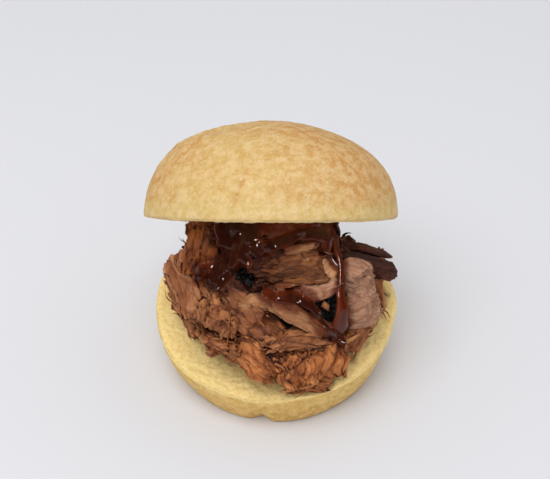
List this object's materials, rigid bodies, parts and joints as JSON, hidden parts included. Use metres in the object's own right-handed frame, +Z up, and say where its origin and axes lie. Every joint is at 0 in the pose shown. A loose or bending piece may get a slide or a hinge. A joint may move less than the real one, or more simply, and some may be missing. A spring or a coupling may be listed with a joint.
{
  "type": "beef brisket slider",
  "caption": "Small round bread roll opened like a clam, with a heap of pulled beef brisket and thick dark barbecue sauce between its halves.",
  "frame": {"origin": "centre of the flat underside of the roll's heel, on the surface that it rests on", "axes": "+Z up; the open mouth of the roll faces -Y; +X is to the right, looking into the mouth"},
  "size_m": [0.073, 0.0754, 0.0793],
  "materials": {
    "bread_heel": "soft baked bread: pale open crumb on the cut face, golden crust underneath",
    "bread_crown": "soft baked bread: dry golden crust with a fine pale speckle",
    "brisket": "torn stringy brown meat, moist, under a dark glossy sauce"
  },
  "bodies": {
    "root": {"heel": "bread_heel", "crown": "bread_crown", "brisket": "brisket"}
  },
  "joints": []
}
